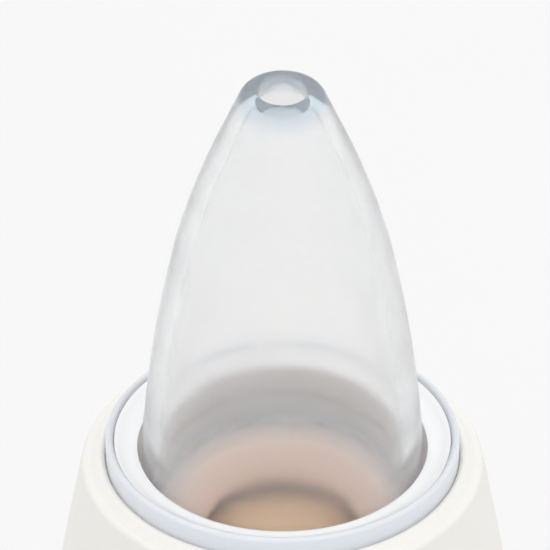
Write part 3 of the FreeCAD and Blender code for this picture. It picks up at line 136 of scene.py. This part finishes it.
soft_box = bpy.data.lights.new("soft_box", "AREA")
soft_box.shape = "RECTANGLE"
soft_box.size = 1.6
soft_box.size_y = 1.2
soft_box.energy = 1.2
soft_box_stand = bpy.data.objects.new("soft_box", soft_box)
soft_box_stand.location = (0.8, -0.3, 1.5)
towards_object = Vector((0, 0, 0.1)) - soft_box_stand.location
soft_box_stand.rotation_euler = towards_object.to_track_quat("-Z", "Y").to_euler()
soft_box_stand.visible_camera = False
bpy.context.scene.collection.objects.link(soft_box_stand)
bpy.context.scene.view_settings.view_transform = "Standard"
# light crosses both walls of the clear tip and goes back and forth in the white socket under it
cycles = bpy.context.scene.cycles
cycles.max_bounces = 24
cycles.diffuse_bounces = 14
cycles.glossy_bounces = 14
cycles.transmission_bounces = 20


# ------------------------------------------------------------------ nose tip
# One soft, clear, bullet-shaped tip, injection-moulded in liquid silicone rubber against a polished tool.
# Its skirt pushes into the socket of the dish ring, where a bead grips; the mouth is a short round bore.
def arc_points(start, end, bend):
    """Points of the short arc from start to end, without its start; a positive bend curves to the left."""
    chord = end - start
    to_centre = Vector((-chord.y, chord.x)).normalized()
    half = chord.length / 2
    centre = (start + end) / 2 + to_centre * copysign(sqrt(max(bend * bend - half * half, 0)), bend)
    first = atan2(start.y - centre.y, start.x - centre.x)
    last = atan2(end.y - centre.y, end.x - centre.x)
    sweep = (last - first + pi) % tau - pi
    widest_turn, longest_step = radians(12), 0.7
    steps = max(2, ceil(abs(sweep) / widest_turn), ceil(abs(sweep * bend) / longest_step))
    radius = abs(bend)
    angles = [first + sweep * step / steps for step in range(1, steps)]
    return [centre + Vector((cos(angle), sin(angle))) * radius for angle in angles] + [end]


def turned(outline, edge, segments):
    """A closed outline of (radius, height above the collar's rim) in millimetres, counter-clockwise, spun
    about Z. A third number is the bend of the arc that leads to that point. Sharp edges are rounded by
    edge, in millimetres."""
    corners = [Vector(point[:2]) for point in outline]
    rim = []
    for index, point in enumerate(outline):
        if len(point) == 3:
            rim += arc_points(corners[index - 1], corners[index], point[2])
        else:
            rim.append(corners[index])
    bm = bmesh.new()
    points = [bm.verts.new((point.x * mm, 0, collar_top + point.y * mm)) for point in rim]
    lines = [bm.edges.new(pair) for pair in zip(points, points[1:] + points[:1])]
    bmesh.ops.spin(bm, geom=points + lines, axis=(0, 0, 1), cent=(0, 0, 0), dvec=(0, 0, 0),
                   angle=tau, steps=segments, use_merge=True)
    bmesh.ops.remove_doubles(bm, verts=bm.verts, dist=0.0005 * mm)
    bmesh.ops.recalc_face_normals(bm, faces=bm.faces)
    sharp_from = radians(25)
    sharp = [line for line in bm.edges if line.calc_face_angle(0) > sharp_from]
    bmesh.ops.bevel(bm, geom=sharp, offset=edge * mm, offset_type="OFFSET", segments=2, profile=0.5,
                    affect="EDGES", clamp_overlap=True, material=-1)
    return bm


def piece(name, bm, finish, body, slot, *stands_for):
    """Makes the finished object, smooth but for its sharp edges, riding on its body."""
    mesh = bpy.data.meshes.new(name)
    bm.to_mesh(mesh)
    bm.free()
    mesh.polygons.foreach_set("use_smooth", [True] * len(mesh.polygons))
    crease_from = radians(38)
    mesh.set_sharp_from_angle(angle=crease_from)
    mesh.materials.append(finish)
    made = bpy.data.objects.new(name, mesh)
    bpy.context.scene.collection.objects.link(made)
    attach(made, body)
    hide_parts(*stands_for)


clear_silicone, tree = new_material("clear_liquid_silicone_rubber")
place = add(tree, "ShaderNodeTexCoord").outputs["Object"]
# the thick crown is glossy and the thin wall below it is satin; the crown's base colour turns a little blue
# and it is made a little less clear, a painted reflection of the blue-grey surroundings that its thick rim
# refracts
level = add(tree, "ShaderNodeSeparateXYZ", {"Vector": place}).outputs["Z"]
crown_foot, crown_rim = collar_top + 30.0 * mm, collar_top + 32.0 * mm
crown = add(tree, "ShaderNodeMapRange", {"Value": level, "From Min": crown_foot, "From Max": crown_rim},
            interpolation_type="SMOOTHSTEP").outputs["Result"]
tint = add(tree, "ShaderNodeMix", {"Factor": crown, 6: linear("#ffffff"), 7: linear("#d2e2ee")},
           data_type="RGBA")
clearness = add(tree, "ShaderNodeMapRange", {"Value": crown, "To Min": 0.92, "To Max": 0.86})
# flow marks of the mould, about 4 mm long and a few thousandths deep
flow = add(tree, "ShaderNodeTexNoise", {"Vector": place, "Scale": 1 / (4 * mm), "Detail": 2.0,
                                        "Roughness": 0.4})
waves = add(tree, "ShaderNodeBump", {"Height": flow.outputs["Fac"], "Strength": 0.12,
                                     "Distance": 0.008 * mm})
satin = add(tree, "ShaderNodeMapRange", {"Value": crown, "To Min": 0.34, "To Max": 0.06})
haze = add(tree, "ShaderNodeMath", {0: satin.outputs["Result"], 1: flow.outputs["Fac"]},
           operation="MULTIPLY")
rubber = add(tree, "ShaderNodeBsdfPrincipled", {
    "Base Color": tint.outputs[2], "Roughness": haze.outputs["Value"], "IOR": 1.3,
    "Transmission Weight": clearness.outputs["Result"], "Normal": waves.outputs["Normal"]})
absorbed = add(tree, "ShaderNodeVolumeAbsorption", {"Color": linear("#b9c9d8"), "Density": 18.0})
add(tree, "ShaderNodeOutputMaterial", {"Surface": rubber.outputs["BSDF"],
                                       "Volume": absorbed.outputs["Volume"]})

tip_outline = [
    (9.3, -5.4), (10.7, -5.4), (10.7, -4.2), (10.7, -3.0, 1.0), (10.7, 0.0),
    (8.2, 17.7, 116.0), (4.85, 27.8, 68.4), (3.35, 31.4), (2.2, 32.2, 1.27),
    (2.15, 32.2), (1.9, 31.95, 0.25), (1.9, 30.7), (2.25, 30.35), (3.45, 27.8),
    (6.8, 17.7, -67.0), (9.3, 0.0, -114.6),
]
piece("clear_nose_tip", turned(tip_outline, edge=0.12, segments=224), clear_silicone, "tip",
      "clear_silicone", "nose_tip")


# ------------------------------------------------------------------ dish ring
# The white ring that the tip stands in: glossy ABS from a polished mould, dished round its socket,
# with a groove for its O-ring; it pushes into the mouth of the clear cup.
def moulded(name, tint, shade, roughness, grain, depth, ior=1.5, patch=9.0, **look):
    """A moulded plastic or rubber: soft patches of tone and gloss, and the grain its mould leaves, in mm."""
    made, tree = new_material(name)
    place = add(tree, "ShaderNodeTexCoord").outputs["Object"]
    cloud = add(tree, "ShaderNodeTexNoise", {"Vector": place, "Scale": 1 / (patch * mm), "Detail": 2.0})
    tone = add(tree, "ShaderNodeMix", {"Factor": cloud.outputs["Fac"], 6: linear(tint), 7: linear(shade)},
               data_type="RGBA")
    gloss = add(tree, "ShaderNodeMapRange", {"Value": cloud.outputs["Fac"], "From Min": 0.3, "From Max": 0.7,
                                             "To Min": roughness * 0.9, "To Max": roughness * 1.1})
    skin = add(tree, "ShaderNodeTexNoise", {"Vector": place, "Scale": 1 / (grain * mm), "Detail": 3.0,
                                            "Roughness": 0.6})
    bump = add(tree, "ShaderNodeBump", {"Height": skin.outputs["Fac"], "Strength": 1.0,
                                        "Distance": depth * mm})
    shader = add(tree, "ShaderNodeBsdfPrincipled", {
        "Base Color": tone.outputs[2], "Roughness": gloss.outputs["Result"], "IOR": ior,
        "Normal": bump.outputs["Normal"], **look})
    add(tree, "ShaderNodeOutputMaterial", {"Surface": shader.outputs["BSDF"]})
    return made


glossy_white = moulded("polished_white_abs", "#fafafb", "#f6f7f8", roughness=0.14, grain=1.6, depth=0.004,
                       ior=1.54)
dish_outline = [
    (9.47, -8.6), (12.2, -8.6), (12.2, -5.93), (11.53, -5.93), (11.53, -5.07), (12.2, -5.07), (12.2, -3.0),
    (12.85, -3.0), (12.85, -0.25), (11.07, -0.9, -2.7), (11.07, -7.0), (9.47, -7.0),
]
piece("dished_funnel_ring", turned(dish_outline, edge=0.06, segments=192), glossy_white, "head",
      "white_gloss", "funnel_ring")


# ------------------------------------------------------------------ seat
# The peach floor of the socket: a soft silicone disc that dips to a round opening and seals the tip.
peach_silicone, tree = new_material("peach_silicone_rubber")
place = add(tree, "ShaderNodeTexCoord").outputs["Object"]
# the colour is deepest in the middle, where the disc is thick, and thins to a milky edge
flat = add(tree, "ShaderNodeMapping", {"Vector": place, "Scale": (1, 1, 0)}).outputs["Vector"]
radius = add(tree, "ShaderNodeVectorMath", {0: flat}, operation="LENGTH").outputs["Value"]
thin = add(tree, "ShaderNodeMapRange", {"Value": radius, "From Min": 6.0 * mm, "From Max": 10.5 * mm},
           interpolation_type="SMOOTHSTEP")
tone = add(tree, "ShaderNodeMix", {"Factor": thin.outputs["Result"], 6: linear("#f7dccd"),
                                   7: linear("#f3ebe8")}, data_type="RGBA")
skin = add(tree, "ShaderNodeTexNoise", {"Vector": place, "Scale": 1 / (0.5 * mm), "Detail": 3.0})
matt = add(tree, "ShaderNodeMapRange", {"Value": skin.outputs["Fac"], "To Min": 0.4, "To Max": 0.5})
bump = add(tree, "ShaderNodeBump", {"Height": skin.outputs["Fac"], "Strength": 1.0, "Distance": 0.008 * mm})
soft = add(tree, "ShaderNodeBsdfPrincipled", {
    "Base Color": tone.outputs[2], "Roughness": matt.outputs["Result"], "IOR": 1.41,
    "Subsurface Weight": 0.25, "Subsurface Scale": 1.2 * mm, "Normal": bump.outputs["Normal"]})
add(tree, "ShaderNodeOutputMaterial", {"Surface": soft.outputs["BSDF"]})

seat_outline = [
    (6.0, -8.65), (6.75, -8.65), (8.25, -7.0), (11.02, -7.0), (11.02, -5.5), (7.5, -5.5), (6.0, -7.9),
]
piece("peach_tip_seat", turned(seat_outline, edge=0.25, segments=160), peach_silicone, "head",
      "peach_silicone", "tip_seat")


# ------------------------------------------------------------------ cup
# The collecting cup, one clear polycarbonate moulding; its thin rim is the collar round the dish ring,
# and a riser tube in its middle carries the air down to the pump above the liquid.
clear_plastic, tree = new_material("clear_polycarbonate")
place = add(tree, "ShaderNodeTexCoord").outputs["Object"]
flow = add(tree, "ShaderNodeTexNoise", {"Vector": place, "Scale": 1 / (6 * mm), "Detail": 2.0})
waves = add(tree, "ShaderNodeBump", {"Height": flow.outputs["Fac"], "Strength": 0.3, "Distance": 0.02 * mm})
haze = add(tree, "ShaderNodeMapRange", {"Value": flow.outputs["Fac"], "To Min": 0.02, "To Max": 0.06})
resin = add(tree, "ShaderNodeBsdfPrincipled", {
    "Base Color": linear("#f6faff"), "Roughness": haze.outputs["Result"], "IOR": 1.45,
    "Transmission Weight": 0.3, "Normal": waves.outputs["Normal"]})
absorbed = add(tree, "ShaderNodeVolumeAbsorption", {"Color": linear("#b4c8d8"), "Density": 20.0})
add(tree, "ShaderNodeOutputMaterial", {"Surface": resin.outputs["BSDF"],
                                       "Volume": absorbed.outputs["Volume"]})

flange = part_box("collection_cup")[1].x / mm
cup_outline = [
    (4.1, -37.9), (5.6, -37.9), (5.6, -36.5), (12.9, -36.5), (12.9, -37.6), (14.7, -37.6), (14.7, -36.5),
    (flange, -36.5), (flange, -35.0), (13.5, -35.0), (13.5, -0.3), (13.2, 0.0, 0.3), (12.9, -0.3, 0.3),
    (12.9, -3.0), (12.3, -3.0), (12.3, -32.9), (10.3, -34.9, -2.0), (5.6, -34.9), (5.6, -33.3), (3.0, -33.3),
    (3.0, -14.9), (2.0, -14.9), (2.0, -35.1), (4.1, -35.1),
]
piece("clear_cup", turned(cup_outline, edge=0.08, segments=192), clear_plastic, "head", "clear_plastic",
      "collection_cup")


# ------------------------------------------------------------------ cover
# The cream cover that hides the cup: satin ABS with a fine spark-eroded grain, a soft double ridge round
# the collar, and a wall that widens down to the handle.
cream_abs = moulded("satin_cream_abs", "#e6e4e0", "#e3e1dc", roughness=0.42, grain=0.22, depth=0.006,
                    ior=1.52)
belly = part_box("body_sleeve")[1].x / mm
cover_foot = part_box("head_cover")[0].z / mm - collar_top / mm
belly_height = 70.0
belly_level = belly_height - collar_top / mm
shoulder, shoulder_level = 15.35, -2.6
cover_wall, foot_round, lip = 2.0, 0.35, 13.52
rise, run = shoulder_level - belly_level, belly - shoulder
wall_bend = (rise * rise + run * run) / (run * 2)


def wall_radius(level, depth=0.0):
    """Radius of the barrel-shaped outer wall above the belly, or of a surface inside it."""
    return belly - wall_bend + sqrt((wall_bend - depth) ** 2 - (level - belly_level) ** 2)


cover_outline = [
    (wall_radius(cover_foot, cover_wall), cover_foot, -(wall_bend - cover_wall)),
    (wall_radius(cover_foot) - foot_round, cover_foot),
    (wall_radius(cover_foot + foot_round), cover_foot + foot_round, foot_round),
    (shoulder, shoulder_level, wall_bend),
    (shoulder - 0.48, -2.12, 0.504), (14.67, -2.12), (14.25, -1.705), (14.05, -1.58, 0.4),
    (lip, -1.83, 0.4), (lip, -5.03), (wall_radius(-8.5, cover_wall), -8.5),
]
piece("cream_head_cover", turned(cover_outline, edge=0.05, segments=224), cream_abs, "head", "cream_plastic",
      "head_cover")


# ------------------------------------------------------------------ splash guard
# A mushroom-shaped silicone cap pushed on the riser: liquid that drops through the seat runs off it into
# the cup, and air passes under it. A deeper peach than the seat, from the same moulding rubber.
def dress(finish, *names):
    """Gives CAD nodes that have their real shape already their real finish."""
    for name in names:
        nodes[name].material_slots[0].material = finish


guard_silicone = moulded("deep_peach_silicone_rubber", "#ffdab0", "#fcd3a6", roughness=0.42, grain=0.5,
                         depth=0.01, ior=1.41, **{"Subsurface Weight": 0.2, "Subsurface Scale": 1.0 * mm})
dress(guard_silicone, "splash_guard")


# ------------------------------------------------------------------ seals and soft pump parts
# O-rings, valve discs, diaphragm, hose and motor damper: undyed silicone, which is milky white and slightly
# greasy in its shine, with the faint ripple that a hot mould leaves.
seal_silicone = moulded("milky_white_silicone_rubber", "#e9ecee", "#e2e6e9", roughness=0.38, grain=0.6,
                        depth=0.008, ior=1.41, **{"Subsurface Weight": 0.3, "Subsurface Scale": 0.8 * mm})
dress(seal_silicone, "funnel_seal", "port_seal", "pump_damper", "inlet_hose", "diaphragm", "umbrella_valves")


# ------------------------------------------------------------------ handle and bottom cap
# The one-piece barrel handle and the cap screwed into its foot: the same satin cream ABS as the head cover,
# from the same spark-eroded tool finish, so that the three run on as one surface.
dress(cream_abs, "body_sleeve", "base_cap")


# ------------------------------------------------------------------ control panel and buttons
# A glossy white inlay frames two satin push buttons; each carries a shallow pad-printed mark, a ring with a
# stroke for power and three rising bars for the suction level.
dress(glossy_white, "control_panel")
button_abs = moulded("satin_off_white_abs", "#f2f0ec", "#efece7", roughness=0.36, grain=0.2, depth=0.004,
                     ior=1.52)
dress(button_abs, "power_button", "level_button")

mark_ink = moulded("grey_pad_printing_ink", "#8f969c", "#858c92", roughness=0.55, grain=0.12, depth=0.003,
                   ior=1.48)
ink_depth = 0.04 * mm


def bar_mark(bm, face, left, right, low, high):
    """One printed bar on the face of a button, a little sunk in it."""
    size = Vector((right - left, ink_depth * 2, high - low))
    middle = Vector(((left + right) / 2, face, (low + high) / 2))
    bmesh.ops.create_cube(bm, size=1.0, matrix=Matrix.LocRotScale(middle, None, size))


power_low, power_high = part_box("power_button")
power_middle = (power_low.z + power_high.z) / 2
power_face = power_low.y
mark_radius, stroke, gap = 1.75 * mm, 0.42 * mm, radians(64)
bar_foot, bar_top = power_middle + 0.35 * mm, power_middle + 2.1 * mm
bm = bmesh.new()
stroke_section = ((-stroke, -ink_depth), (0, -ink_depth), (0, ink_depth), (-stroke, ink_depth))
corners = [bm.verts.new((mark_radius + across, power_face + proud, power_middle))
           for across, proud in stroke_section]
start_face = bm.faces.new(corners)
bmesh.ops.rotate(bm, verts=corners, cent=(0, 0, power_middle),
                 matrix=Matrix.Rotation(-(pi / 2 + gap / 2), 3, "Y"))
bmesh.ops.spin(bm, geom=[start_face, *start_face.edges, *start_face.verts], axis=(0, 1, 0),
               cent=(0, 0, power_middle), dvec=(0, 0, 0), angle=-(tau - gap), steps=48, use_merge=False)
bar_mark(bm, power_face, -stroke / 2, stroke / 2, bar_foot, bar_top)
bmesh.ops.recalc_face_normals(bm, faces=bm.faces)
piece("power_mark", bm, mark_ink, "power_key", "button_plastic")

level_low, level_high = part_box("level_button")
level_middle = (level_low.z + level_high.z) / 2
bar_width, bar_pitch = 0.6 * mm, 0.95 * mm
bars_left, bars_foot = -1.25 * mm, level_middle - 1.15 * mm
bm = bmesh.new()
for step, bar_height in enumerate((0.9, 1.6, 2.3)):
    left = bars_left + step * bar_pitch
    bar_mark(bm, level_low.y, left, left + bar_width, bars_foot, bars_foot + bar_height * mm)
piece("level_mark", bm, mark_ink, "level_key", "button_plastic")


# ------------------------------------------------------------------ lights
# Three clear light pipes bring the light of the three white-bodied LEDs on the board up to the panel.
dress(clear_plastic, "light_pipes")
led_body = moulded("white_led_lens_resin", "#f7f3df", "#f3eed5", roughness=0.3, grain=0.3, depth=0.003,
                   ior=1.53, **{"Subsurface Weight": 0.2, "Subsurface Scale": 0.3 * mm})
dress(led_body, "indicator_leds")


# ------------------------------------------------------------------ charging-port cover
# A soft flap in cream silicone, matt against the satin handle; it bends down on its own thin strap.
cream_silicone = moulded("cream_silicone_rubber", "#e9e6df", "#e4e1d9", roughness=0.58, grain=0.35,
                         depth=0.012, ior=1.41,
                         **{"Subsurface Weight": 0.15, "Subsurface Scale": 0.8 * mm,
                            "Sheen Weight": 0.08, "Sheen Roughness": 0.4})
dress(cream_silicone, "port_cover")


# ------------------------------------------------------------------ foot ring
# Grey thermoplastic rubber pressed in the cap's groove; its face has the stipple that lets it grip.
foot_rubber = moulded("grey_thermoplastic_rubber", "#8b8b8e", "#828285", roughness=0.72, grain=0.3,
                      depth=0.03, ior=1.48)
dress(foot_rubber, "foot_ring")


# ------------------------------------------------------------------ deck, chassis and pump mouldings
# The deck and the chassis are plain white ABS; the pump's parts are acetal, a denser and waxier white.
deck_abs = moulded("plain_white_abs", "#ebebea", "#e6e6e5", roughness=0.4, grain=0.25, depth=0.006, ior=1.52)
dress(deck_abs, "deck_plate", "chassis", "motor_endcap")
acetal = moulded("natural_acetal", "#e8e8e3", "#e0e0da", roughness=0.3, grain=0.9, depth=0.005, ior=1.48,
                 **{"Subsurface Weight": 0.2, "Subsurface Scale": 0.7 * mm})
dress(acetal, "pump_housing", "valve_plate", "pump_head", "eccentric_wheel", "wobble_frame")


# ------------------------------------------------------------------ screws, shaft, pin and socket
# Turned and cold-headed steel parts with a bright nickel plating, faintly streaked along their length.
def metal(name, tint, shade, roughness, streak, stretch, depth):
    """A metal skin with fine streaks, streak millimetres apart, drawn out by stretch on each axis."""
    made, tree = new_material(name)
    place = add(tree, "ShaderNodeTexCoord").outputs["Object"]
    drawn = add(tree, "ShaderNodeMapping", {"Vector": place, "Scale": stretch})
    lines = add(tree, "ShaderNodeTexNoise", {"Vector": drawn.outputs["Vector"], "Scale": 1 / (streak * mm),
                                             "Detail": 3.0})
    tone = add(tree, "ShaderNodeMix", {"Factor": lines.outputs["Fac"], 6: linear(tint), 7: linear(shade)},
               data_type="RGBA")
    gloss = add(tree, "ShaderNodeMapRange", {"Value": lines.outputs["Fac"], "To Min": roughness * 0.7,
                                             "To Max": roughness * 1.3})
    bump = add(tree, "ShaderNodeBump", {"Height": lines.outputs["Fac"], "Strength": 1.0,
                                        "Distance": depth * mm})
    shader = add(tree, "ShaderNodeBsdfPrincipled", {
        "Base Color": tone.outputs[2], "Metallic": 1.0, "Roughness": gloss.outputs["Result"],
        "Normal": bump.outputs["Normal"]})
    add(tree, "ShaderNodeOutputMaterial", {"Surface": shader.outputs["BSDF"]})
    return made


nickel = metal("bright_nickel_plated_steel", "#cfccc6", "#bcb9b3", roughness=0.24, streak=0.25,
               stretch=(1.0, 1.0, 0.15), depth=0.002)
dress(nickel, "base_screws", "deck_screws", "board_screws", "pump_screws", "motor_shaft", "wobble_pin",
      "usb_socket")


# ------------------------------------------------------------------ motor
# A deep-drawn, zinc-plated steel can, two sintered ferrite magnets, and a rotor wound with enamelled copper.
zinc = metal("drawn_zinc_plated_steel", "#b9bcc0", "#a4a8ad", roughness=0.34, streak=0.3,
             stretch=(0.12, 0.12, 1.0), depth=0.004)
dress(zinc, "motor_can", "tact_switches")

ferrite = moulded("sintered_ferrite", "#3d3d40", "#303033", roughness=0.6, grain=0.2, depth=0.015, ior=2.3)
dress(ferrite, "motor_magnets")

copper_wire, tree = new_material("enamelled_copper_winding")
place = add(tree, "ShaderNodeTexCoord").outputs["Object"]
# turns of 0.3 mm wire, side by side; the wave texture has one band in each 0.314 of its unit. Each turn is
# painted lighter on its crest and darker in the groove beside the next turn, a painted highlight and painted
# shade
wave_band, wire = 0.314, 0.3 * mm
turns = add(tree, "ShaderNodeTexWave", {"Vector": place, "Scale": wave_band / wire, "Distortion": 0.8,
                                        "Detail": 1.0}, wave_type="BANDS", bands_direction="Z")
tone = add(tree, "ShaderNodeMix", {"Factor": turns.outputs["Fac"], 6: linear("#8a3f1f"),
                                   7: linear("#c9743f")}, data_type="RGBA")
wires = add(tree, "ShaderNodeBump", {"Height": turns.outputs["Fac"], "Strength": 1.0, "Distance": 0.1 * mm})
enamel = add(tree, "ShaderNodeBsdfPrincipled", {
    "Base Color": tone.outputs[2], "Metallic": 0.85, "Roughness": 0.32, "Coat Weight": 0.6,
    "Coat Roughness": 0.12, "Normal": wires.outputs["Normal"]})
add(tree, "ShaderNodeOutputMaterial", {"Surface": enamel.outputs["BSDF"]})
dress(copper_wire, "motor_rotor")


# ------------------------------------------------------------------ boards and chips
# Glass-epoxy boards under green solder mask, which lies higher and lighter over the copper tracks; the chip,
# the plungers and the socket's tongue are black moulding compound.
solder_mask, tree = new_material("green_solder_mask_on_glass_epoxy")
place = add(tree, "ShaderNodeTexCoord").outputs["Object"]
# a track in each millimetre, about half of it copper, bent by a slow noise
track_pitch = 1.0 * mm
tracks = add(tree, "ShaderNodeTexWave", {"Vector": place, "Scale": wave_band / track_pitch,
                                         "Distortion": 3.0, "Detail": 1.0, "Detail Scale": 0.6},
             wave_type="BANDS", bands_direction="X", wave_profile="SIN")
edges = add(tree, "ShaderNodeMapRange", {"Value": tracks.outputs["Fac"], "From Min": 0.45, "From Max": 0.6})
tone = add(tree, "ShaderNodeMix", {"Factor": edges.outputs["Result"], 6: linear("#0f4a31"),
                                   7: linear("#1f6b45")}, data_type="RGBA")
raised = add(tree, "ShaderNodeBump", {"Height": edges.outputs["Result"], "Strength": 1.0,
                                      "Distance": 0.03 * mm})
mask = add(tree, "ShaderNodeBsdfPrincipled", {
    "Base Color": tone.outputs[2], "Roughness": 0.28, "IOR": 1.52, "Normal": raised.outputs["Normal"]})
add(tree, "ShaderNodeOutputMaterial", {"Surface": mask.outputs["BSDF"]})
dress(solder_mask, "main_board", "charge_board")

black_compound = moulded("black_moulding_compound", "#1d1d1f", "#161618", roughness=0.5, grain=0.12,
                         depth=0.006, ior=1.55)
dress(black_compound, "control_chip", "usb_tongue", "power_plunger", "level_plunger")


# ------------------------------------------------------------------ battery and pads
# A cylindrical cell in blue shrink film, drawn into fine upright wrinkles; it sits on an open-cell foam pad,
# and the same foam, cut round, quiets the pump's exhaust.
shrink_film = moulded("blue_pvc_shrink_film", "#2d5f9e", "#28568f", roughness=0.22, grain=1.4, depth=0.03,
                      ior=1.54, **{"Coat Weight": 0.2})
dress(shrink_film, "battery_cell")

open_foam, tree = new_material("open_cell_polyurethane_foam")
place = add(tree, "ShaderNodeTexCoord").outputs["Object"]
# cells about 0.4 mm across, each hollow painted darker than the lighter mesh round it, painted shade in the
# pores
cells = add(tree, "ShaderNodeTexVoronoi", {"Vector": place, "Scale": 1 / (0.4 * mm)})
tone = add(tree, "ShaderNodeMix", {"Factor": cells.outputs["Distance"], 6: linear("#2b2b2e"),
                                   7: linear("#5a5a5e")}, data_type="RGBA")
hollows = add(tree, "ShaderNodeBump", {"Height": cells.outputs["Distance"], "Strength": 1.0,
                                       "Distance": 0.2 * mm})
foam = add(tree, "ShaderNodeBsdfPrincipled", {"Base Color": tone.outputs[2], "Roughness": 0.95,
                                              "Normal": hollows.outputs["Normal"]})
add(tree, "ShaderNodeOutputMaterial", {"Surface": foam.outputs["BSDF"]})
dress(open_foam, "battery_pad", "exhaust_muffler")
